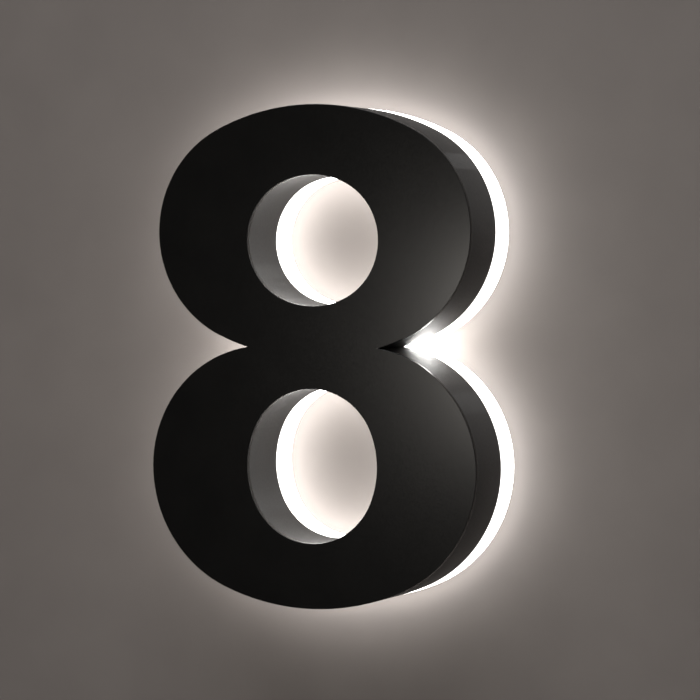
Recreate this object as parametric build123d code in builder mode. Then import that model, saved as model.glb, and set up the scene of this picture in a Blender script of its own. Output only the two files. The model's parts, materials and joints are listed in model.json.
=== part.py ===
from build123d import *
from dataclasses import dataclass, replace
from math import cos, radians, sin
import os

# Illuminated house number: a halo-lit numeral 8.
#
# A black sheet-metal shell (face plate, two bowl returns, two counter returns) is pushed over
# the tongue of an opal acrylic body. The acrylic body is screwed to the wall and holds two
# light-emitting-diode boards that shine back into it, so that its edge glows behind the shell.
#
# Frame: millimetres, +Z up, +X to the right of the reader, the face looks along -Y. The wall is
# the plane Y = 0 and the origin is the middle of the four wall screws, at half the numeral's
# height. A depth is always a distance from the wall, so it runs along -Y.

os.makedirs("parts", exist_ok=True)

# --- Outline of the numeral -------------------------------------------------------------
# Each bowl and counter is a three-centred oval: broad crown arcs on the axis and tighter
# side arcs. A crown angle is half the angle that the crown arc spans. The bowls' sizes come
# from the counters and the strokes round them.
upper_counter_half_width = 27.8
upper_counter_half_height = 26.0
upper_counter_angle = 24.5
lower_counter_half_width = 27.6
lower_counter_half_height = 30.7
lower_counter_angle = 67.0

top_stroke = 27.9               # above the upper counter
waist_stroke = 32.8             # between the counters
foot_stroke = 25.9              # below the lower counter
side_stroke = 38.6              # beside the upper counter
lower_side_extra = 2.6          # by which the lower bowl reaches further out on each side

upper_bowl_lift = 3.5           # the upper bowl's widest level above its counter's
upper_bowl_sag = 4.1            # the upper oval's hidden lowest point below the waist's middle
upper_bowl_top_angle = 26.4
upper_bowl_base_angle = 24.4
lower_bowl_drop = 1.0           # the lower bowl's widest level below its counter's
lower_bowl_crown = 1.3          # the lower oval's hidden highest point above the waist's middle
lower_bowl_top_angle = 4.2
lower_bowl_base_angle = 22.9

# --- Shell -------------------------------------------------------------------------------
shell_depth = 30.0
face_thickness = 2.0
return_thickness = 1.5
weep_hole_radius = 2.0
weep_hole_spread = 32.0
weep_hole_setback = 5.0         # behind the face plate

# --- Opal acrylic body -------------------------------------------------------------------
diffuser_reveal = 16.0          # the lit band that shows behind the shell
tongue_depth = 9.0
tongue_clearance = 0.3
tongue_wall = 4.5
floor_thickness = 6.0

# --- Lock screws and their clinch nuts ---------------------------------------------------
lock_screw_radius = 1.5
lock_screw_countersink = 0.5    # outer end below the shell's skin
lock_screw_socket_radius = 0.87
lock_screw_socket_depth = 1.3
clinch_shank_radius = 2.1
clinch_flange_radius = 3.1
clinch_flange_thickness = 1.5
thread_clearance = 0.05
nut_slot_clearance = 0.5
screw_tip_gap = 0.1             # between a screw's end and what it bears on
screw_slot_width = 0.5
screw_slot_share = 0.5          # a slot's depth as a share of its pan head's height
screw_crown_share = 1 / 3       # a pan head's chamfer as a share of its height

# --- Wall screws -------------------------------------------------------------------------
wall_screw_spacing_z = 94.0
wall_screw_hole_radius = 2.5
bush_wall = 1.5
bush_flange_radius = 5.5
bush_flange_thickness = 1.2
bush_tongue_gap = 1.9           # from the flange to the tongue round a counter

# --- Circuit boards ----------------------------------------------------------------------
board_width = 8.0
board_thickness = 1.6
board_waist_gap = 56.0          # between the two feet of each board
board_waist_cut = 32.0          # height that is cleared for that gap
standoff_height = 10.0
standoff_across_flats = 5.0
standoff_stud_length = 4.0
board_screw_radius = 1.25
board_screw_length = 6.0
board_screw_head_radius = 2.3
board_screw_head_height = 1.6
board_screw_clearance = 0.1

# Diodes and board screws share evenly turned stations, counted from the bowl's far end.
station_angle = 13.0
board_foot_angle = 156.0        # from the bowl's far end to the middle of each foot
screw_stations = (-10, -4, 4, 10)

led_length = 3.5
led_width = 2.8
led_height = 1.6
led_rim = 0.4
led_window_depth = 0.3

resistor_length = 3.2
resistor_width = 1.6
resistor_height = 0.6
resistor_stations = (-7, -5, -2, 2, 5, 7)

connector_length = 8.0
connector_width = 7.4
connector_height = 4.2
connector_chamfer = 0.4
connector_entry_radius = 0.95
connector_pole_pitch = 3.8
connector_entry_depth = 5.0

# --- Supply terminal in the waist ----------------------------------------------------------
terminal_notch_gap = 7.44       # left end to the tongue at the left notch
terminal_length = 14.0
terminal_width = 16.0
terminal_height = 12.0
terminal_pole_pitch = 8.6
terminal_axis_height = 4.6      # clamp axis above the acrylic floor
terminal_end_wall = 1.2
terminal_corner_radius = 1.2
terminal_front_chamfer = 0.6
terminal_entry_radius = 1.6
clamp_radius = 2.4
clamp_bore_radius = 1.5
clamp_play = 0.05
clamp_screw_spacing = 7.0
clamp_screw_radius = 1.25
clamp_screw_length = 5.5
clamp_screw_slot_depth = 1.0
clamp_well_radius = 1.6
fixing_screw_radius = 1.4
fixing_screw_head_radius = 2.5
fixing_screw_head_height = 1.8
fixing_screw_bite = 4.5         # length in the acrylic floor
fixing_recess_depth = 3.0

# --- Supply inlet --------------------------------------------------------------------------
grommet_terminal_gap = 4.0      # flange to the terminal's right end
grommet_bore_radius = 2.6
grommet_neck_radius = 4.0
grommet_flange_radius = 5.5
grommet_flange_thickness = 1.5
grommet_recess_depth = 2.0      # in the back of the acrylic body
grommet_recess_play = 0.5
grommet_clearance = 0.05

# --- Internal leads ------------------------------------------------------------------------
wire_radius = 0.7
wire_insertion = 3.5            # straight length inside each entry
feed_run = 5.0                  # from the terminal to the corner where the feed leads turn up
feed_bend_radius = 4.2
link_run = 3.5                  # from a connector to the linking leads' nearest corner
link_bend_radius = 8.0
link_notch_gap = 2.55           # outer linking lead's axis to the tongue at the right notch
link_straight_share = 0.5       # upright part of the linking leads' height

# --- Derived levels and depths ---------------------------------------------------------------
numeral_height = (foot_stroke + 2 * lower_counter_half_height + waist_stroke
                  + 2 * upper_counter_half_height + top_stroke)
top_height = numeral_height / 2
upper_counter_height = top_height - top_stroke - upper_counter_half_height
lower_counter_height = -top_height + foot_stroke + lower_counter_half_height
upper_bowl_height = upper_counter_height + upper_bowl_lift
lower_bowl_height = lower_counter_height - lower_bowl_drop
waist_height = lower_counter_height + lower_counter_half_height + waist_stroke / 2
upper_bowl_half_width = upper_counter_half_width + side_stroke
lower_bowl_half_width = upper_bowl_half_width + lower_side_extra

seat_inset = return_thickness + tongue_clearance
pocket_inset = seat_inset + tongue_wall
board_inset = foot_stroke / 2   # the boards run down the middle of the thinnest stroke
overall_depth = diffuser_reveal + shell_depth
tongue_front = diffuser_reveal + tongue_depth
return_depth = shell_depth - face_thickness
board_rear = floor_thickness + standoff_height
board_front = board_rear + board_thickness
lead_depth = board_front + connector_height / 2
clamp_depth = floor_thickness + terminal_axis_height
lock_screw_depth = diffuser_reveal + tongue_depth / 2
wall_screw_x = (max(upper_counter_half_width, lower_counter_half_width) + pocket_inset
                + bush_flange_radius + bush_tongue_gap)


@dataclass
class Oval:
    """Three-centred oval about the vertical axis, with its widest level at height."""
    height: float
    half_width: float
    rise: float
    fall: float
    rise_angle: float
    fall_angle: float

    def grown(self, margin):
        """The same oval, larger all round by margin (smaller if margin is negative)."""
        return replace(self, half_width=self.half_width + margin,
                       rise=self.rise + margin, fall=self.fall + margin)

    def radii(self, reach, angle):
        """Crown and side radius of a quarter that is reach high and spans this crown angle."""
        s, c = sin(radians(angle)), cos(radians(angle))
        crown = (self.half_width * c - reach * (1 - s)) / (s + c - 1)
        side = (reach * s - self.half_width * (1 - c)) / (s + c - 1)
        return crown, side

    def place(self, bearing, turn=0.0):
        """Point whose outward normal is at bearing, clockwise from up, as a sketch location.

        Its X axis runs clockwise along the outline, turned by turn.
        """
        below = cos(radians(bearing)) < 0
        reach, angle = (self.fall, self.fall_angle) if below else (self.rise, self.rise_angle)
        crown, side = self.radii(reach, angle)
        s, c = sin(radians(bearing)), cos(radians(bearing))
        if abs(s) < sin(radians(angle)):
            centre_x, centre_z, radius = 0.0, (reach - crown) * (-1 if below else 1), crown
        else:
            centre_x, centre_z, radius = (self.half_width - side) * (1 if s > 0 else -1), 0.0, side
        point = (centre_x + radius * s, self.height + centre_z + radius * c, 0)
        return Location(point, (0, 0, turn - bearing))


upper_bowl = Oval(upper_bowl_height, upper_bowl_half_width,
                  top_height - upper_bowl_height,
                  upper_bowl_height - waist_height + upper_bowl_sag,
                  upper_bowl_top_angle, upper_bowl_base_angle)
lower_bowl = Oval(lower_bowl_height, lower_bowl_half_width,
                  waist_height + lower_bowl_crown - lower_bowl_height,
                  top_height + lower_bowl_height,
                  lower_bowl_top_angle, lower_bowl_base_angle)
upper_counter = Oval(upper_counter_height, upper_counter_half_width,
                     upper_counter_half_height, upper_counter_half_height,
                     upper_counter_angle, upper_counter_angle)
lower_counter = Oval(lower_counter_height, lower_counter_half_width,
                     lower_counter_half_height, lower_counter_half_height,
                     lower_counter_angle, lower_counter_angle)


def ovals_sketch(*ovals):
    """Flat face of one oval, or of several run together."""
    with BuildSketch() as sketch:
        for oval in ovals:
            top_radius, top_side = oval.radii(oval.rise, oval.rise_angle)
            base_radius, base_side = oval.radii(oval.fall, oval.fall_angle)
            top_x, base_x = oval.half_width - top_side, oval.half_width - base_side
            top_sweep, base_sweep = 90 - oval.rise_angle, 90 - oval.fall_angle
            with BuildLine():
                CenterArc((0, oval.height + oval.rise - top_radius), top_radius,
                          top_sweep, 2 * oval.rise_angle)
                CenterArc((-top_x, oval.height), top_side, 180 - top_sweep, top_sweep)
                CenterArc((-base_x, oval.height), base_side, 180, base_sweep)
                CenterArc((0, oval.height - oval.fall + base_radius), base_radius,
                          180 + base_sweep, 2 * oval.fall_angle)
                CenterArc((base_x, oval.height), base_side, -base_sweep, base_sweep)
                CenterArc((top_x, oval.height), top_side, 0, top_sweep)
            make_face()
    return sketch.sketch


def bowls_sketch(inset=0.0):
    """Outside of the numeral, drawn in by inset with the notches rounded as a fold is."""
    with BuildSketch() as sketch:
        add(ovals_sketch(upper_bowl, lower_bowl))
        if inset:
            offset(amount=-inset)
    return sketch.sketch


def numeral_sketch(inset=0.0):
    """The numeral with its counters, every edge drawn in by inset."""
    with BuildSketch() as sketch:
        add(bowls_sketch(inset))
        for counter in (upper_counter, lower_counter):
            add(ovals_sketch(counter.grown(inset)), mode=Mode.SUBTRACT)
    return sketch.sketch


def at_depth(depth):
    """Drawing plane parallel to the wall, seen from the reader's side."""
    return Plane.XZ.offset(depth)


def station(centre_line, middle_bearing, number):
    """Numbered place along a board's centre line, on either side of its middle."""
    return centre_line.place(middle_bearing + number * station_angle)


def save(builder, name):
    """Label a finished piece and write its file."""
    builder.part.label = name
    export_step(builder.part, f"parts/{name}.step")


# The sharp notches are the outline's corners nearest to the vertical axis.
notch = bowls_sketch().vertices().sort_by(lambda corner: abs(corner.X))[0]
notch_height = notch.Y
tongue_at_notch = abs(notch.X) - pocket_inset

# --- Face plate and returns ------------------------------------------------------------------
with BuildPart() as face_plate:
    with BuildSketch(at_depth(overall_depth - face_thickness)):
        add(numeral_sketch())
    extrude(amount=face_thickness)
save(face_plate, "face_plate")

nut_hole_radius = clinch_shank_radius + thread_clearance
# Drawing planes on the skin at the top and the foot, with their +Y towards the reader.
lock_top = Plane(origin=(0, -lock_screw_depth, top_height), x_dir=(-1, 0, 0), z_dir=(0, 0, 1))
lock_foot = Plane(origin=(0, -lock_screw_depth, -top_height), x_dir=(1, 0, 0), z_dir=(0, 0, -1))

with BuildPart() as upper_bowl_return:
    with BuildSketch(at_depth(diffuser_reveal)):
        add(bowls_sketch())
        add(bowls_sketch(return_thickness), mode=Mode.SUBTRACT)
    extrude(amount=return_depth)
    split(bisect_by=Plane.XY.offset(notch_height), keep=Keep.TOP)
    with Locations(lock_top):
        Hole(nut_hole_radius)
save(upper_bowl_return, "upper_bowl_return")

with BuildPart() as lower_bowl_return:
    with BuildSketch(at_depth(diffuser_reveal)):
        add(bowls_sketch())
        add(bowls_sketch(return_thickness), mode=Mode.SUBTRACT)
    extrude(amount=return_depth)
    split(bisect_by=Plane.XY.offset(notch_height), keep=Keep.BOTTOM)
    with Locations(lock_foot):
        Hole(nut_hole_radius)
    weep_depth = overall_depth - face_thickness - weep_hole_setback
    weep_plane = Plane(origin=(0, -weep_depth, -top_height), x_dir=(1, 0, 0), z_dir=(0, 0, -1))
    with Locations(weep_plane):
        with GridLocations(weep_hole_spread, 0, 2, 1):
            Hole(weep_hole_radius)
save(lower_bowl_return, "lower_bowl_return")

with BuildPart() as upper_counter_return:
    with BuildSketch(at_depth(diffuser_reveal)):
        add(ovals_sketch(upper_counter.grown(return_thickness)))
        add(ovals_sketch(upper_counter), mode=Mode.SUBTRACT)
    extrude(amount=return_depth)
save(upper_counter_return, "upper_counter_return")

with BuildPart() as lower_counter_return:
    with BuildSketch(at_depth(diffuser_reveal)):
        add(ovals_sketch(lower_counter.grown(return_thickness)))
        add(ovals_sketch(lower_counter), mode=Mode.SUBTRACT)
    extrude(amount=return_depth)
save(lower_counter_return, "lower_counter_return")

# --- Clinch nuts and lock screws ---------------------------------------------------------------
# The nut's flange is flat and the return is curved, so the flange lies a hair below it.
flange_seat = return_thickness + 2 * thread_clearance
nut_inner_end = flange_seat + clinch_flange_thickness
nut_slot_floor = nut_inner_end + thread_clearance + nut_slot_clearance
lock_screw_length = nut_slot_floor - screw_tip_gap - lock_screw_countersink

with BuildPart() as clinch_nuts:
    for seat in (lock_top, lock_foot):
        with BuildSketch(seat.offset(-nut_inner_end)):
            Circle(clinch_flange_radius)
        extrude(amount=clinch_flange_thickness)
        with BuildSketch(seat.offset(-flange_seat)):
            Circle(clinch_shank_radius)
        extrude(amount=return_thickness)
        with BuildSketch(seat):
            Circle(lock_screw_radius + thread_clearance)
        extrude(amount=-nut_inner_end, mode=Mode.SUBTRACT)
save(clinch_nuts, "clinch_nuts")

with BuildPart() as lock_screws:
    for seat in (lock_top, lock_foot):
        with BuildSketch(seat.offset(-lock_screw_countersink)):
            Circle(lock_screw_radius)
        extrude(amount=-lock_screw_length)
        with BuildSketch(seat.offset(-lock_screw_countersink)):
            RegularPolygon(lock_screw_socket_radius, side_count=6)
        extrude(amount=-lock_screw_socket_depth, mode=Mode.SUBTRACT)
save(lock_screws, "lock_screws")

# --- Opal acrylic body -------------------------------------------------------------------------
upper_board_line = upper_bowl.grown(-board_inset)
lower_board_line = lower_bowl.grown(-board_inset)
upper_screw_places = [station(upper_board_line, 0, number) for number in screw_stations]
lower_screw_places = [station(lower_board_line, 180, number) for number in screw_stations]
board_screw_places = upper_screw_places + lower_screw_places
bush_radius = wall_screw_hole_radius + bush_wall
terminal_x = terminal_length / 2 + terminal_notch_gap - tongue_at_notch
grommet_x = terminal_x + terminal_length / 2 + grommet_terminal_gap + grommet_flange_radius

with BuildPart() as diffuser_body:
    with BuildSketch(at_depth(0)):
        add(numeral_sketch())
    extrude(amount=diffuser_reveal)
    with BuildSketch(at_depth(diffuser_reveal)):
        add(numeral_sketch(seat_inset))
    extrude(amount=tongue_depth)
    with BuildSketch(at_depth(floor_thickness)):
        add(numeral_sketch(pocket_inset))
    extrude(amount=tongue_front - floor_thickness, mode=Mode.SUBTRACT)

    # Slots, open to the front, that let the clinch nuts slide on with the shell.
    slot_radius = clinch_flange_radius + nut_slot_clearance
    for seat in (lock_top, lock_foot):
        with BuildSketch(seat.offset(-nut_slot_floor)):
            Circle(slot_radius)
            with Locations((0, tongue_depth / 2)):
                Rectangle(2 * slot_radius, tongue_depth)
        extrude(amount=nut_slot_floor, mode=Mode.SUBTRACT)

    # Wall-screw bushes, supply inlet, pillar studs and the terminal's fixing screw.
    with BuildSketch(at_depth(0)):
        with GridLocations(2 * wall_screw_x, wall_screw_spacing_z, 2, 2):
            Circle(bush_radius)
        with Locations((grommet_x, waist_height)):
            Circle(grommet_neck_radius + grommet_clearance)
    extrude(amount=floor_thickness, mode=Mode.SUBTRACT)
    with BuildSketch(at_depth(0)):
        with Locations((grommet_x, waist_height)):
            Circle(grommet_flange_radius + grommet_recess_play)
    extrude(amount=grommet_recess_depth, mode=Mode.SUBTRACT)
    with BuildSketch(at_depth(floor_thickness)):
        with Locations(*board_screw_places):
            Circle(board_screw_radius + board_screw_clearance)
    extrude(amount=-standoff_stud_length, mode=Mode.SUBTRACT)
    with BuildSketch(at_depth(floor_thickness)):
        with Locations((terminal_x, waist_height)):
            Circle(fixing_screw_radius + thread_clearance)
    extrude(amount=-fixing_screw_bite, mode=Mode.SUBTRACT)
save(diffuser_body, "diffuser_body")

with BuildPart() as screw_bushes:
    with BuildSketch(at_depth(0)):
        with GridLocations(2 * wall_screw_x, wall_screw_spacing_z, 2, 2):
            Circle(bush_radius)
            Circle(wall_screw_hole_radius, mode=Mode.SUBTRACT)
    extrude(amount=floor_thickness)
    with BuildSketch(at_depth(floor_thickness)):
        with GridLocations(2 * wall_screw_x, wall_screw_spacing_z, 2, 2):
            Circle(bush_flange_radius)
            Circle(wall_screw_hole_radius, mode=Mode.SUBTRACT)
    extrude(amount=bush_flange_thickness)
save(screw_bushes, "screw_bushes")

# The grommet is a turned rubber ring: two flanges with the acrylic floor in its neck.
with BuildPart() as cable_grommet:
    grommet_plane = Plane(origin=(grommet_x, 0, waist_height), z_dir=(0, 0, 1))
    back = grommet_recess_depth - grommet_flange_thickness
    front = floor_thickness + grommet_flange_thickness
    with BuildSketch(grommet_plane):
        with BuildLine():
            Polyline(
                (grommet_bore_radius, -back),
                (grommet_flange_radius, -back),
                (grommet_flange_radius, -grommet_recess_depth),
                (grommet_neck_radius, -grommet_recess_depth),
                (grommet_neck_radius, -floor_thickness),
                (grommet_flange_radius, -floor_thickness),
                (grommet_flange_radius, -front),
                (grommet_bore_radius, -front),
                close=True,
            )
        make_face()
    revolve(axis=Axis((grommet_x, 0, waist_height), (0, 1, 0)))
save(cable_grommet, "cable_grommet")


# --- Circuit boards ------------------------------------------------------------------------------
def board_sketch(bowl, screw_places, gap_height):
    """Strip along the inside of a bowl, open at the waist, with its screw holes."""
    outer = bowl.grown(board_width / 2 - board_inset)
    inner = bowl.grown(-board_width / 2 - board_inset)
    with BuildSketch() as sketch:
        add(ovals_sketch(outer))
        add(ovals_sketch(inner), mode=Mode.SUBTRACT)
        with Locations((0, gap_height)):
            Rectangle(board_waist_gap, board_waist_cut, mode=Mode.SUBTRACT)
        with Locations(*screw_places):
            Circle(board_screw_radius + board_screw_clearance, mode=Mode.SUBTRACT)
    return sketch.sketch


with BuildPart() as upper_led_board:
    with BuildSketch(at_depth(board_rear)):
        add(board_sketch(upper_bowl, upper_screw_places,
                         upper_board_line.height - upper_board_line.fall))
    extrude(amount=board_thickness)
save(upper_led_board, "upper_led_board")

with BuildPart() as lower_led_board:
    with BuildSketch(at_depth(board_rear)):
        add(board_sketch(lower_bowl, lower_screw_places,
                         lower_board_line.height + lower_board_line.rise))
    extrude(amount=board_thickness)
save(lower_led_board, "lower_led_board")

# Flat diode packages on the boards' rear sides, each with a sunk window.
last_station = int(board_foot_angle // station_angle)
all_stations = range(-last_station, last_station + 1)
diode_stations = [number for number in all_stations if number not in screw_stations]
diode_groups = {
    "upper_leds": [station(upper_board_line, 0, number) for number in diode_stations],
    "lower_leds": [station(lower_board_line, 180, number) for number in diode_stations],
}
for name, places in diode_groups.items():
    with BuildPart() as diodes:
        with BuildSketch(at_depth(board_rear)):
            with Locations(*places):
                Rectangle(led_length, led_width)
        extrude(amount=-led_height)
        with BuildSketch(at_depth(board_rear - led_height)):
            with Locations(*places):
                Rectangle(led_length - 2 * led_rim, led_width - 2 * led_rim)
        extrude(amount=led_window_depth, mode=Mode.SUBTRACT)
    save(diodes, name)

with BuildPart() as board_resistors:
    resistor_places = [station(upper_board_line, 0, number) for number in resistor_stations]
    resistor_places += [station(lower_board_line, 180, number) for number in resistor_stations]
    with BuildSketch(at_depth(board_front)):
        with Locations(*resistor_places):
            Rectangle(resistor_length, resistor_width)
    extrude(amount=resistor_height)
save(board_resistors, "board_resistors")

# Push-in connectors: the feed on the upper board's left foot, the link on both right feet.
# A connector's entries look along its own +X, which points at the waist.
feed_place = upper_board_line.place(-board_foot_angle, 180)
upper_link_place = upper_board_line.place(board_foot_angle)
lower_link_place = lower_board_line.place(180 - board_foot_angle, 180)

with BuildPart() as board_connectors:
    connector_places = (feed_place, upper_link_place, lower_link_place)
    with BuildSketch(at_depth(board_front)):
        with Locations(*connector_places):
            Rectangle(connector_length, connector_width)
    extrude(amount=connector_height)
    front_rims = board_connectors.faces().filter_by(Axis.Y).group_by(Axis.Y)[0].edges()
    chamfer(front_rims, connector_chamfer)
    for place in connector_places:
        mouth = at_depth(lead_depth).location * place * Location((connector_length / 2, 0, 0))
        with Locations(mouth * Location((0, 0, 0), (0, 90, 0))):
            with Locations((0, connector_pole_pitch / 2), (0, -connector_pole_pitch / 2)):
                Hole(connector_entry_radius, depth=connector_entry_depth)
save(board_connectors, "board_connectors")

# --- Pillars and board screws --------------------------------------------------------------------
with BuildPart() as board_standoffs:
    with BuildSketch(at_depth(floor_thickness)):
        with Locations(*board_screw_places):
            RegularPolygon(standoff_across_flats / 2, side_count=6, major_radius=False)
    extrude(amount=standoff_height)
    with BuildSketch(at_depth(floor_thickness)):
        with Locations(*board_screw_places):
            Circle(board_screw_radius)
    extrude(amount=-(standoff_stud_length - board_screw_clearance))
    with BuildSketch(at_depth(board_rear)):
        with Locations(*board_screw_places):
            Circle(board_screw_radius + thread_clearance)
    extrude(amount=-(board_screw_length - board_thickness + board_screw_clearance),
            mode=Mode.SUBTRACT)
save(board_standoffs, "board_standoffs")

with BuildPart() as board_screws:
    with BuildSketch(at_depth(board_front)):
        with Locations(*board_screw_places):
            Circle(board_screw_head_radius)
    extrude(amount=board_screw_head_height)
    head_rims = board_screws.faces().filter_by(Axis.Y).group_by(Axis.Y)[0].edges()
    chamfer(head_rims, screw_crown_share * board_screw_head_height)
    with BuildSketch(at_depth(board_front)):
        with Locations(*board_screw_places):
            Circle(board_screw_radius)
    extrude(amount=-board_screw_length)
    with BuildSketch(at_depth(board_front + board_screw_head_height)):
        with Locations(*board_screw_places):
            Rectangle(board_screw_head_radius, screw_slot_width)
            Rectangle(screw_slot_width, board_screw_head_radius)
    extrude(amount=-screw_slot_share * board_screw_head_height, mode=Mode.SUBTRACT)
save(board_screws, "board_screws")

# --- Supply terminal -------------------------------------------------------------------------------
pole_places = [(terminal_x, waist_height + side * terminal_pole_pitch / 2) for side in (1, -1)]
clamp_screw_places = [
    (x + side * clamp_screw_spacing / 2, z) for x, z in pole_places for side in (-1, 1)
]
clamp_length = terminal_length - 2 * terminal_end_wall - 2 * clamp_play
terminal_end = Plane(origin=(terminal_x - terminal_length / 2, -clamp_depth, waist_height),
                     x_dir=(0, 0, 1), z_dir=(-1, 0, 0))
terminal_front = floor_thickness + terminal_height


def pole_circles(radius):
    """One circle for each pole, on a plane square to the clamps."""
    with Locations((terminal_pole_pitch / 2, 0), (-terminal_pole_pitch / 2, 0)):
        Circle(radius)


with BuildPart() as terminal_block:
    with BuildSketch(at_depth(floor_thickness)):
        with Locations((terminal_x, waist_height)):
            Rectangle(terminal_length, terminal_width)
    extrude(amount=terminal_height)
    upright_edges = terminal_block.edges().filter_by(Axis.Y)
    fillet(upright_edges, terminal_corner_radius)
    front_edges = terminal_block.faces().sort_by(Axis.Y)[0].edges()
    chamfer(front_edges, terminal_front_chamfer)
    with BuildSketch(terminal_end.offset(-terminal_end_wall)):
        pole_circles(clamp_radius + clamp_play)
    extrude(amount=-(clamp_length + 2 * clamp_play), mode=Mode.SUBTRACT)
    with BuildSketch(terminal_end):
        pole_circles(terminal_entry_radius)
    extrude(amount=-terminal_length, mode=Mode.SUBTRACT)
    with BuildSketch(at_depth(terminal_front)):
        with Locations(*clamp_screw_places):
            Circle(clamp_well_radius)
    extrude(amount=-(terminal_front - clamp_depth), mode=Mode.SUBTRACT)
    with BuildSketch(at_depth(terminal_front)):
        with Locations((terminal_x, waist_height)):
            Circle(fixing_screw_head_radius + thread_clearance)
    extrude(amount=-fixing_recess_depth, mode=Mode.SUBTRACT)
    with BuildSketch(at_depth(terminal_front)):
        with Locations((terminal_x, waist_height)):
            Circle(fixing_screw_radius + thread_clearance)
    extrude(amount=-terminal_height, mode=Mode.SUBTRACT)
save(terminal_block, "terminal_block")

with BuildPart() as terminal_clamps:
    with BuildSketch(terminal_end.offset(-terminal_end_wall - clamp_play)):
        pole_circles(clamp_radius)
    extrude(amount=-clamp_length)
    with BuildSketch(terminal_end):
        pole_circles(clamp_bore_radius)
    extrude(amount=-terminal_length, mode=Mode.SUBTRACT)
    with BuildSketch(at_depth(clamp_depth)):
        with Locations(*clamp_screw_places):
            Circle(clamp_screw_radius + thread_clearance)
    extrude(amount=clamp_radius, mode=Mode.SUBTRACT)
save(terminal_clamps, "terminal_clamps")

with BuildPart() as terminal_screws:
    screw_tip = clamp_depth + wire_radius + screw_tip_gap
    with BuildSketch(at_depth(screw_tip)):
        with Locations(*clamp_screw_places):
            Circle(clamp_screw_radius)
    extrude(amount=clamp_screw_length)
    with BuildSketch(at_depth(screw_tip + clamp_screw_length)):
        with Locations(*clamp_screw_places):
            Rectangle(2 * clamp_screw_radius, screw_slot_width)
    extrude(amount=-clamp_screw_slot_depth, mode=Mode.SUBTRACT)
save(terminal_screws, "terminal_screws")

with BuildPart() as terminal_fixing_screw:
    head_seat = terminal_front - fixing_recess_depth
    with BuildSketch(at_depth(head_seat)):
        with Locations((terminal_x, waist_height)):
            Circle(fixing_screw_head_radius)
    extrude(amount=fixing_screw_head_height)
    head_rim = terminal_fixing_screw.faces().sort_by(Axis.Y)[0].edges()
    chamfer(head_rim, screw_crown_share * fixing_screw_head_height)
    with BuildSketch(at_depth(head_seat)):
        with Locations((terminal_x, waist_height)):
            Circle(fixing_screw_radius)
    extrude(amount=-(head_seat - floor_thickness + fixing_screw_bite - thread_clearance))
    with BuildSketch(at_depth(head_seat + fixing_screw_head_height)):
        with Locations((terminal_x, waist_height)):
            Rectangle(fixing_screw_head_radius, screw_slot_width)
            Rectangle(screw_slot_width, fixing_screw_head_radius)
    extrude(amount=-screw_slot_share * fixing_screw_head_height, mode=Mode.SUBTRACT)
save(terminal_fixing_screw, "terminal_fixing_screw")


# --- Internal leads ----------------------------------------------------------------------------------
def connector_point(place, pole, reach):
    """Point on a connector's entry axis, reach outside its mouth, on the pole at +1 or -1."""
    local = Location((connector_length / 2 + reach, pole * connector_pole_pitch / 2, 0))
    return (at_depth(lead_depth).location * place * local).position


def terminal_point(pole, reach):
    """Point on a clamp axis, reach outside the terminal's left end, on the pole at +1 or -1."""
    return Vector(terminal_x - terminal_length / 2 - reach, -clamp_depth,
                  waist_height + pole * terminal_pole_pitch / 2)


def feed_points(pole):
    """Terminal block to the upper board's left foot, turning straight up beside the block."""
    corner = terminal_point(pole, feed_run)
    mouth = connector_point(feed_place, pole, 0)
    step = connector_point(feed_place, pole, 1) - mouth
    return (
        terminal_point(pole, -wire_insertion),
        corner,
        connector_point(feed_place, pole, (corner.X - mouth.X) / step.X),
        connector_point(feed_place, pole, -wire_insertion),
    )


def link_points(pole, swing_x):
    """Upper board's right foot to the lower board's right foot, round the notch."""
    start = connector_point(upper_link_place, pole, link_run)
    end = connector_point(lower_link_place, -pole, link_run)
    slope_height = (start.Z - end.Z) * (1 - link_straight_share) / 2
    return (
        connector_point(upper_link_place, pole, -wire_insertion),
        start,
        Vector(swing_x, start.Y, start.Z - slope_height),
        Vector(swing_x, start.Y, end.Z + slope_height),
        end,
        connector_point(lower_link_place, -pole, -wire_insertion),
    )


# Each lead is straight runs joined by tangent arcs.
black_link_x = tongue_at_notch - link_notch_gap
red_link_x = black_link_x - connector_pole_pitch
lead_groups = {
    "red_wires": (
        (feed_points(1), feed_bend_radius),
        (link_points(-1, red_link_x), link_bend_radius),
    ),
    "black_wires": (
        (feed_points(-1), feed_bend_radius),
        (link_points(1, black_link_x), link_bend_radius),
    ),
}
for name, routes in lead_groups.items():
    with BuildPart() as leads:
        for points, bend_radius in routes:
            with BuildLine() as route:
                FilletPolyline(*points, radius=bend_radius)
            with BuildSketch(Plane(origin=route.wire() @ 0, z_dir=route.wire() % 0)):
                Circle(wire_radius)
            sweep(path=route.wire())
    save(leads, name)
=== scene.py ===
import json
import math

import bmesh
import bpy
from mathutils import Matrix, Vector


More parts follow.
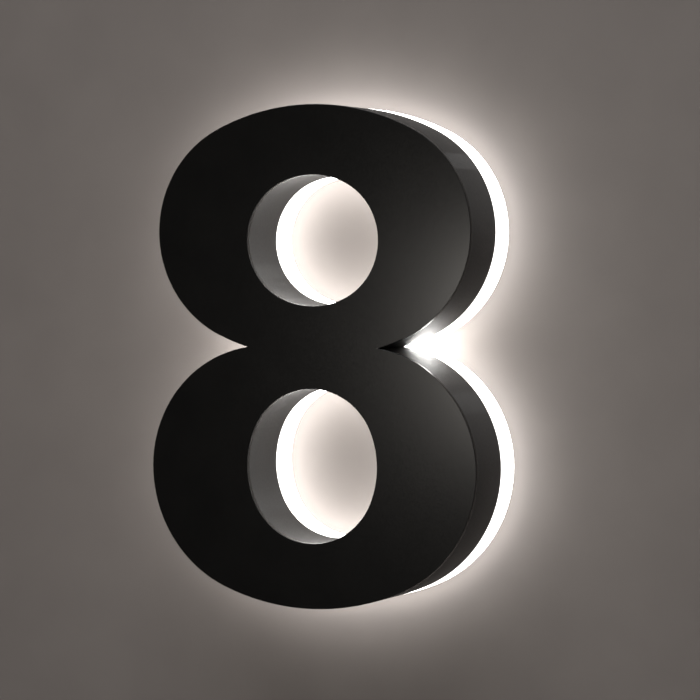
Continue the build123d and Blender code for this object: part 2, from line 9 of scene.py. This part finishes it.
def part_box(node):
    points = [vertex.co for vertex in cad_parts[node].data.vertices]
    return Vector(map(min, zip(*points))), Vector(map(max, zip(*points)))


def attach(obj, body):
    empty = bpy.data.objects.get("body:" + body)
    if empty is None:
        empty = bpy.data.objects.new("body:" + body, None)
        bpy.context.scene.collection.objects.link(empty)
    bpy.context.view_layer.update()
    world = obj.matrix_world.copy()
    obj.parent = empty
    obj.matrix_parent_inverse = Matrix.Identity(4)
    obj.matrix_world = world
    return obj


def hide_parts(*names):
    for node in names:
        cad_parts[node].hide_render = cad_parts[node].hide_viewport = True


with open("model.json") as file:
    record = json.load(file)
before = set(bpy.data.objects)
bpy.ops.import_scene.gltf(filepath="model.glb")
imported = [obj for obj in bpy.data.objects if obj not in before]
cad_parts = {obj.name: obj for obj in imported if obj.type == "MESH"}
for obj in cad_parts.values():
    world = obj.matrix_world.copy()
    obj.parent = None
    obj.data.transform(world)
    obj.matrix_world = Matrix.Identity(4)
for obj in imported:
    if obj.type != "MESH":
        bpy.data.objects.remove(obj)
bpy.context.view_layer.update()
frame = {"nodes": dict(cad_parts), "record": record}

MM = 0.001
WARM_WHITE = (1.0, 0.99, 0.97, 1)


def add_object(name, data):
    """A new object in the scene that holds the data."""
    piece = bpy.data.objects.new(name, data)
    bpy.context.scene.collection.objects.link(piece)
    return piece


# --- Camera ------------------------------------------------------------------------------
CAMERA_YAW = math.radians(21.36)
CAMERA_PITCH = math.radians(-1.62)
CAMERA_ROLL = math.radians(0.13)
CAMERA_AIM = Vector((0.01624, -0.046, 0.00299))     # on the plane of the numeral's face
CAMERA_DISTANCE = 1.3242
CAMERA_LENS = 172.9                                 # millimetres, as is the sensor
CAMERA_SENSOR = 36.0
CAMERA_NEAREST = 0.01
CAMERA_FARTHEST = 20.0


def make_camera():
    """Long lens, from the reader's right and a little above, with hardly any roll."""
    forward = Vector((-math.sin(CAMERA_YAW) * math.cos(CAMERA_PITCH),
                      math.cos(CAMERA_YAW) * math.cos(CAMERA_PITCH),
                      math.sin(CAMERA_PITCH)))
    level_right = Vector((math.cos(CAMERA_YAW), math.sin(CAMERA_YAW), 0))
    level_up = level_right.cross(forward)
    right = level_right * math.cos(CAMERA_ROLL) + level_up * math.sin(CAMERA_ROLL)
    up = level_up * math.cos(CAMERA_ROLL) - level_right * math.sin(CAMERA_ROLL)
    data = bpy.data.cameras.new("camera")
    data.sensor_width = CAMERA_SENSOR
    data.lens = CAMERA_LENS
    data.clip_start = CAMERA_NEAREST
    data.clip_end = CAMERA_FARTHEST
    camera = add_object("camera", data)
    turned = Matrix((right, up, -forward)).transposed().to_4x4()
    camera.matrix_world = Matrix.Translation(CAMERA_AIM - CAMERA_DISTANCE * forward) @ turned
    bpy.context.scene.camera = camera


make_camera()


# --- Material building blocks --------------------------------------------------------------
NOISE_LOW = 0.3                 # fractal noise seldom leaves the range from low to high
NOISE_HIGH = 0.7
BROAD_DETAIL = 4.0
FINE_DETAIL = 3.0
GRAIN_HEIGHT = 0.01 * MM
GRAIN_PER_METRE = 2500
MIX_FIRST_COLOUR = 6            # a Mix node's colour sockets share their names with others
MIX_SECOND_COLOUR = 7
MIX_COLOUR_RESULT = 2


class Nodes:
    """Short hand for a material's node tree."""

    def __init__(self, name):
        self.material = bpy.data.materials.new(name)
        self.material.use_nodes = True
        self.tree = self.material.node_tree
        self.shader = next(n for n in self.tree.nodes if n.type == "BSDF_PRINCIPLED")
        self.coordinate = self.tree.nodes.new("ShaderNodeTexCoord").outputs["Object"]

    def add(self, kind, **values):
        """A new node. Each value goes to the input of its name, or else to the node's setting."""
        node = self.tree.nodes.new(kind)
        for key, value in values.items():
            if key in node.inputs:
                node.inputs[key].default_value = value
            else:
                setattr(node, key, value)
        return node

    def link(self, start, end):
        self.tree.links.new(start, end)

    def feed(self, name, source):
        """Links a source to the shader's input of that name."""
        self.link(source, self.shader.inputs[name])

    def set(self, **values):
        """Sets the shader's inputs, with underscores in their names for spaces."""
        for key, value in values.items():
            self.shader.inputs[key.replace("_", " ")].default_value = value

    def noise(self, per_metre, detail=BROAD_DETAIL):
        """Fractal noise with about this many features per metre, as a 0 to 1 output."""
        noise = self.add("ShaderNodeTexNoise", Scale=per_metre, Detail=detail)
        self.link(self.coordinate, noise.inputs["Vector"])
        return noise.outputs["Fac"]

    def depth(self):
        """The place along Y in metres, 0 at the wall and below 0 towards the reader."""
        split = self.add("ShaderNodeSeparateXYZ")
        self.link(self.coordinate, split.inputs["Vector"])
        return split.outputs["Y"]

    def number(self, source, low, high, start=NOISE_LOW, end=NOISE_HIGH):
        """Maps a source that runs from start to end to a number from low to high."""
        node = self.add("ShaderNodeMapRange")
        node.inputs["From Min"].default_value = start
        node.inputs["From Max"].default_value = end
        node.inputs["To Min"].default_value = low
        node.inputs["To Max"].default_value = high
        self.link(source, node.inputs["Value"])
        return node.outputs["Result"]

    def colour(self, source, low, high):
        """Maps noise to a colour from low to high."""
        node = self.add("ShaderNodeValToRGB")
        dark, pale = node.color_ramp.elements
        dark.position = NOISE_LOW
        pale.position = NOISE_HIGH
        dark.color = (*low, 1)
        pale.color = (*high, 1)
        self.link(source, node.inputs["Fac"])
        return node.outputs["Color"]

    def bump(self, source, height):
        """Bump from a 0 to 1 source, with its full height in metres."""
        node = self.add("ShaderNodeBump", Distance=height)
        self.link(source, node.inputs["Height"])
        self.feed("Normal", node.outputs["Normal"])


def surface(name, low, high, rough, per_metre, grain_height=GRAIN_HEIGHT,
            grain_per_metre=GRAIN_PER_METRE, **values):
    """A material whose colour, roughness and surface all vary a little."""
    nodes = Nodes(name)
    broad = nodes.noise(per_metre)
    fine = nodes.noise(grain_per_metre, FINE_DETAIL)
    nodes.feed("Base Color", nodes.colour(broad, low, high))
    nodes.feed("Roughness", nodes.number(fine, *rough))
    nodes.bump(fine, grain_height)
    nodes.set(**values)
    return nodes.material


# --- Materials ---------------------------------------------------------------------------
PAINT_DARK = (0.0020, 0.0019, 0.0018)
PAINT_PALE = (0.0032, 0.0030, 0.0028)
PAINT_PER_METRE = 60

OPAL_DARK = (0.88, 0.88, 0.86)
OPAL_PALE = (0.93, 0.93, 0.91)
OPAL_ROUGHNESS = (0.24, 0.32)
OPAL_PER_METRE = 80

BAND_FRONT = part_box("upper_bowl_return")[1].y
BAND_BACK = 0.0
BAND_EDGE_GLOW = 1.2
BAND_MIDDLE_GLOW = 11.0
BAND_SWEEP = 2.60               # radians of a sine's hump, from the shell's edge to the wall

DIODE_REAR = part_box("upper_leds")[1].y
DIODE_WINDOW_DEPTH = 0.3 * MM
DIODE_WINDOW_TOLERANCE = DIODE_WINDOW_DEPTH / 4
DIODE_ROUGHNESS = (0.30, 0.42)
DIODE_PER_METRE = 900


def lit_band():
    """Opal acrylic whose edge glows, faintly at the shell and most a little past half-way."""
    nodes = Nodes("lit_band")
    broad = nodes.noise(OPAL_PER_METRE)
    fine = nodes.noise(GRAIN_PER_METRE, FINE_DETAIL)
    nodes.feed("Base Color", nodes.colour(broad, OPAL_DARK, OPAL_PALE))
    nodes.feed("Roughness", nodes.number(fine, *OPAL_ROUGHNESS))
    sweep = nodes.number(nodes.depth(), 0.0, BAND_SWEEP, BAND_FRONT, BAND_BACK)
    hump = nodes.add("ShaderNodeMath", operation="SINE")
    nodes.link(sweep, hump.inputs[0])
    glow = nodes.number(hump.outputs["Value"], BAND_EDGE_GLOW, BAND_MIDDLE_GLOW, 0.0, 1.0)
    nodes.feed("Emission Strength", glow)
    nodes.set(Emission_Color=WARM_WHITE)
    return nodes.material


def diode_package():
    """Pale moulded package with a yellow phosphor fill on the sunk floor of its window."""
    nodes = Nodes("diode_package")
    grain = nodes.noise(DIODE_PER_METRE)
    window = nodes.add("ShaderNodeMath", operation="COMPARE")
    nodes.link(nodes.depth(), window.inputs[0])
    window.inputs[1].default_value = DIODE_REAR - DIODE_WINDOW_DEPTH
    window.inputs[2].default_value = DIODE_WINDOW_TOLERANCE
    package = nodes.colour(grain, (0.80, 0.79, 0.74), (0.86, 0.85, 0.80))
    phosphor = nodes.colour(grain, (0.88, 0.70, 0.10), (0.93, 0.78, 0.16))
    mix = nodes.add("ShaderNodeMix", data_type="RGBA")
    nodes.link(window.outputs["Value"], mix.inputs["Factor"])
    nodes.link(package, mix.inputs[MIX_FIRST_COLOUR])
    nodes.link(phosphor, mix.inputs[MIX_SECOND_COLOUR])
    nodes.feed("Base Color", mix.outputs[MIX_COLOUR_RESULT])
    nodes.feed("Roughness", nodes.number(grain, *DIODE_ROUGHNESS))
    return nodes.material


MATERIALS = {
    "black_paint": surface("black_powder_coat", PAINT_DARK, PAINT_PALE, (0.23, 0.26),
                           PAINT_PER_METRE, grain_height=0.006 * MM, grain_per_metre=1400,
                           Specular_IOR_Level=0.22),
    "opal_acrylic": surface("opal_acrylic", OPAL_DARK, OPAL_PALE, OPAL_ROUGHNESS,
                            OPAL_PER_METRE, grain_height=0.004 * MM,
                            Emission_Color=WARM_WHITE, Emission_Strength=0.16),
    "steel": surface("zinc_plated_steel", (0.50, 0.51, 0.52), (0.66, 0.66, 0.64),
                     (0.26, 0.42), 900, Metallic=1.0),
    "grommet_rubber": surface("grommet_rubber", (0.012, 0.012, 0.012),
                              (0.022, 0.022, 0.021), (0.62, 0.78), 700),
    "board_white": surface("white_solder_mask", (0.80, 0.82, 0.80), (0.88, 0.89, 0.87),
                           (0.34, 0.44), 300),
    "led_package": diode_package(),
    "resistor_black": surface("chip_ceramic", (0.018, 0.018, 0.02), (0.035, 0.035, 0.037),
                              (0.4, 0.55), 1500),
    "connector_white": surface("connector_moulding", (0.70, 0.69, 0.64),
                               (0.78, 0.77, 0.72), (0.38, 0.48), 500),
    "nylon": surface("natural_nylon", (0.70, 0.67, 0.58), (0.78, 0.76, 0.68),
                     (0.35, 0.48), 600),
    "terminal_nylon": surface("terminal_moulding", (0.62, 0.62, 0.60), (0.70, 0.70, 0.68),
                              (0.32, 0.44), 500),
    "clamp_brass": surface("clamp_brass", (0.62, 0.42, 0.16), (0.74, 0.53, 0.22),
                           (0.22, 0.36), 1200, Metallic=1.0),
    "red_insulation": surface("red_insulation", (0.42, 0.012, 0.01), (0.52, 0.02, 0.015),
                              (0.28, 0.38), 700),
    "black_insulation": surface("black_insulation", (0.008, 0.008, 0.008),
                                (0.018, 0.018, 0.018), (0.28, 0.38), 700),
}

# The rolled returns keep more of the coat's orange peel than the flat face does.
RETURN_PAINT = surface("black_powder_coat_return", PAINT_DARK, PAINT_PALE, (0.47, 0.54),
                       PAINT_PER_METRE, grain_height=0.008 * MM, grain_per_metre=1200,
                       Specular_IOR_Level=0.23)


def dress_frame():
    """Gives every CAD node the material of its slot, and the returns their rougher coat."""
    slots = {part["node"]: part["material_slot"] for part in frame["record"]["subparts"]}
    for name, node in frame["nodes"].items():
        node.data.materials.clear()
        node.data.materials.append(None)
        node.material_slots[0].link = "OBJECT"
        node.material_slots[0].material = (RETURN_PAINT if name.endswith("_return")
                                           else MATERIALS[slots[name]])


dress_frame()


# --- Face plate --------------------------------------------------------------------------
WELD_DISTANCE = 0.001 * MM
FACE_EDGE_RADIUS = 0.18 * MM
FACE_EDGE_SEGMENTS = 3
FACE_EDGE_PROFILE = 0.5         # a circular arc
SHARP_ANGLE = math.radians(35)
FLAT_COSINE = 0.999             # a face whose normal's Y passes this lies flat to the wall


def is_front_rim(edge):
    """Whether the edge joins a face that looks at the reader, along -Y, to a side face."""
    return sorted(round(face.normal.y) for face in edge.link_faces) == [-1, 0]


def face_plate():
    """The flat black face, with its front edges rounded as sheet under powder coat is."""
    source = frame["nodes"]["face_plate"].data
    mesh = bpy.data.meshes.new("rounded_face")
    mesh.from_pydata([vertex.co for vertex in source.vertices], [],
                     [tuple(face.vertices) for face in source.polygons])
    shape = bmesh.new()
    shape.from_mesh(mesh)
    bmesh.ops.remove_doubles(shape, verts=shape.verts, dist=WELD_DISTANCE)
    bmesh.ops.recalc_face_normals(shape, faces=shape.faces)
    rims = [edge for edge in shape.edges if is_front_rim(edge)]
    bmesh.ops.bevel(shape, geom=rims, offset=FACE_EDGE_RADIUS, segments=FACE_EDGE_SEGMENTS,
                    profile=FACE_EDGE_PROFILE, affect="EDGES", clamp_overlap=True)
    shape.to_mesh(mesh)
    shape.free()
    mesh.shade_smooth()
    mesh.set_sharp_from_angle(angle=SHARP_ANGLE)
    for face in mesh.polygons:
        face.use_smooth = abs(face.normal.y) < FLAT_COSINE
    mesh.materials.append(MATERIALS["black_paint"])
    piece = add_object("rounded_face", mesh)
    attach(piece, "shell")
    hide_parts("face_plate")


face_plate()


# --- Opal body ---------------------------------------------------------------------------
BAND_TOLERANCE = 0.1 * MM


def is_band(depths):
    """Whether a face with corners at these depths spans the whole visible edge."""
    reaches_wall = max(depths) > BAND_BACK - BAND_TOLERANCE
    reaches_shell = abs(min(depths) - BAND_FRONT) < BAND_TOLERANCE
    return reaches_wall and reaches_shell


def opal_body():
    """The acrylic body, with its visible edge as a second, brighter material."""
    mesh = frame["nodes"]["diffuser_body"].data.copy()
    mesh.materials.clear()
    mesh.materials.append(MATERIALS["opal_acrylic"])
    mesh.materials.append(lit_band())
    for face in mesh.polygons:
        depths = [mesh.vertices[index].co.y for index in face.vertices]
        face.material_index = int(is_band(depths))
    piece = add_object("opal_body", mesh)
    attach(piece, "base")
    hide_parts("diffuser_body")


opal_body()


# --- Stage -------------------------------------------------------------------------------
STAGE_ROUGHNESS = 0.7
WALL_GAP = 0.04 * MM            # between the part's back and the wall
WALL_HALF_WIDTH = 0.9
WALL_TOP = 0.9
FLOOR_LEVEL = -0.6
FLOOR_HALF_WIDTH = 1.6
FLOOR_FRONT = -1.6
FLOOR_BACK = 1.6


def stage_surface(name, low, high, per_metre, shadowless=False):
    """A plain matt surface that is clear from behind, so that it never hides the part."""
    nodes = Nodes(name)
    nodes.feed("Base Color", nodes.colour(nodes.noise(per_metre), low, high))
    nodes.set(Roughness=STAGE_ROUGHNESS)
    clear = nodes.add("ShaderNodeNewGeometry").outputs["Backfacing"]
    if shadowless:
        either = nodes.add("ShaderNodeMath", operation="MAXIMUM")
        nodes.link(clear, either.inputs[0])
        nodes.link(nodes.add("ShaderNodeLightPath").outputs["Is Shadow Ray"], either.inputs[1])
        clear = either.outputs["Value"]
    mix = nodes.add("ShaderNodeMixShader")
    nodes.link(clear, mix.inputs["Fac"])
    nodes.link(nodes.shader.outputs["BSDF"], mix.inputs[1])
    nodes.link(nodes.add("ShaderNodeBsdfTransparent").outputs["BSDF"], mix.inputs[2])
    output = next(node for node in nodes.tree.nodes if node.type == "OUTPUT_MATERIAL")
    nodes.link(mix.outputs["Shader"], output.inputs["Surface"])
    return nodes.material


def stage_plane(name, corners, material):
    """A flat piece of the stage. It faces the side from which its corners run anticlockwise."""
    mesh = bpy.data.meshes.new(name)
    mesh.from_pydata(corners, [], [tuple(range(len(corners)))])
    mesh.materials.append(material)
    add_object(name, mesh)


floor_material = stage_surface("pale_floor", (0.70, 0.69, 0.67), (0.74, 0.73, 0.71), 12)
# The lamp behind the wall lights the part's back through it.
wall_material = stage_surface("plain_wall", (0.120, 0.105, 0.098), (0.132, 0.116, 0.108), 30,
                              shadowless=True)

stage_plane("wall", [(-WALL_HALF_WIDTH, WALL_GAP, FLOOR_LEVEL),
                     (WALL_HALF_WIDTH, WALL_GAP, FLOOR_LEVEL),
                     (WALL_HALF_WIDTH, WALL_GAP, WALL_TOP),
                     (-WALL_HALF_WIDTH, WALL_GAP, WALL_TOP)], wall_material)
stage_plane("floor", [(-FLOOR_HALF_WIDTH, FLOOR_FRONT, FLOOR_LEVEL),
                      (FLOOR_HALF_WIDTH, FLOOR_FRONT, FLOOR_LEVEL),
                      (FLOOR_HALF_WIDTH, FLOOR_BACK, FLOOR_LEVEL),
                      (-FLOOR_HALF_WIDTH, FLOOR_BACK, FLOOR_LEVEL)], floor_material)


# --- Light -------------------------------------------------------------------------------
ROOM_LIGHT = 0.05
ROOM_FRONT_TONE = 0.04
ROOM_SIDE_TONE = 0.70
ROOM_FRONT_Y = -0.95            # Y of the direction where the front tone starts to give way
ROOM_SIDE_Y = -0.40             # and of the direction from which on the side tone holds


def soft_box(name, place, aim, width, height, power, colour=(1, 1, 1)):
    """A rectangular lamp at a place, turned to its aim and hidden from the camera."""
    data = bpy.data.lights.new(name, "AREA")
    data.shape = "RECTANGLE"
    data.size = width
    data.size_y = height
    data.energy = power
    data.color = colour
    box = add_object(name, data)
    box.visible_camera = False
    towards = Vector(aim) - Vector(place)
    turned = towards.to_track_quat("-Z", "Y").to_matrix().to_4x4()
    box.matrix_world = Matrix.Translation(Vector(place)) @ turned


def studio_world():
    """Faint even light. Camera, gloss and transmission rays see a pale room, dark in front."""
    world = bpy.data.worlds.new("studio")
    bpy.context.scene.world = world
    world.use_nodes = True
    tree = world.node_tree
    background = next(n for n in tree.nodes if n.type == "BACKGROUND")
    background.inputs["Color"].default_value = WARM_WHITE
    direction = tree.nodes.new("ShaderNodeTexCoord").outputs["Generated"]
    split = tree.nodes.new("ShaderNodeSeparateXYZ")
    tree.links.new(direction, split.inputs["Vector"])
    room = tree.nodes.new("ShaderNodeMapRange")
    room.interpolation_type = "SMOOTHSTEP"
    room.inputs["From Min"].default_value = ROOM_FRONT_Y
    room.inputs["From Max"].default_value = ROOM_SIDE_Y
    room.inputs["To Min"].default_value = ROOM_FRONT_TONE
    room.inputs["To Max"].default_value = ROOM_SIDE_TONE
    tree.links.new(split.outputs["Y"], room.inputs["Value"])
    path = tree.nodes.new("ShaderNodeLightPath")
    seen = path.outputs["Is Camera Ray"]
    for other in ("Is Glossy Ray", "Is Transmission Ray"):
        either = tree.nodes.new("ShaderNodeMath")
        either.operation = "MAXIMUM"
        tree.links.new(seen, either.inputs[0])
        tree.links.new(path.outputs[other], either.inputs[1])
        seen = either.outputs["Value"]
    strength = tree.nodes.new("ShaderNodeMix")
    strength.inputs["A"].default_value = ROOM_LIGHT
    tree.links.new(seen, strength.inputs["Factor"])
    tree.links.new(room.outputs["Result"], strength.inputs["B"])
    tree.links.new(strength.outputs["Result"], background.inputs["Strength"])


soft_box("overhead", place=(0, -0.75, 1.2), aim=(0, -0.45, -0.6), width=1.2, height=0.9, power=20)
soft_box("near", place=(-0.02, -0.42, 0.0), aim=(0.06, 0, 0.0), width=0.07, height=0.07,
         power=0.48, colour=(1.0, 0.94, 0.87))
soft_box("back", place=(0.3, 1.2, 0.8), aim=(0, 0, 0), width=0.9, height=0.9, power=10)
studio_world()

bpy.context.scene.view_settings.view_transform = "Standard"
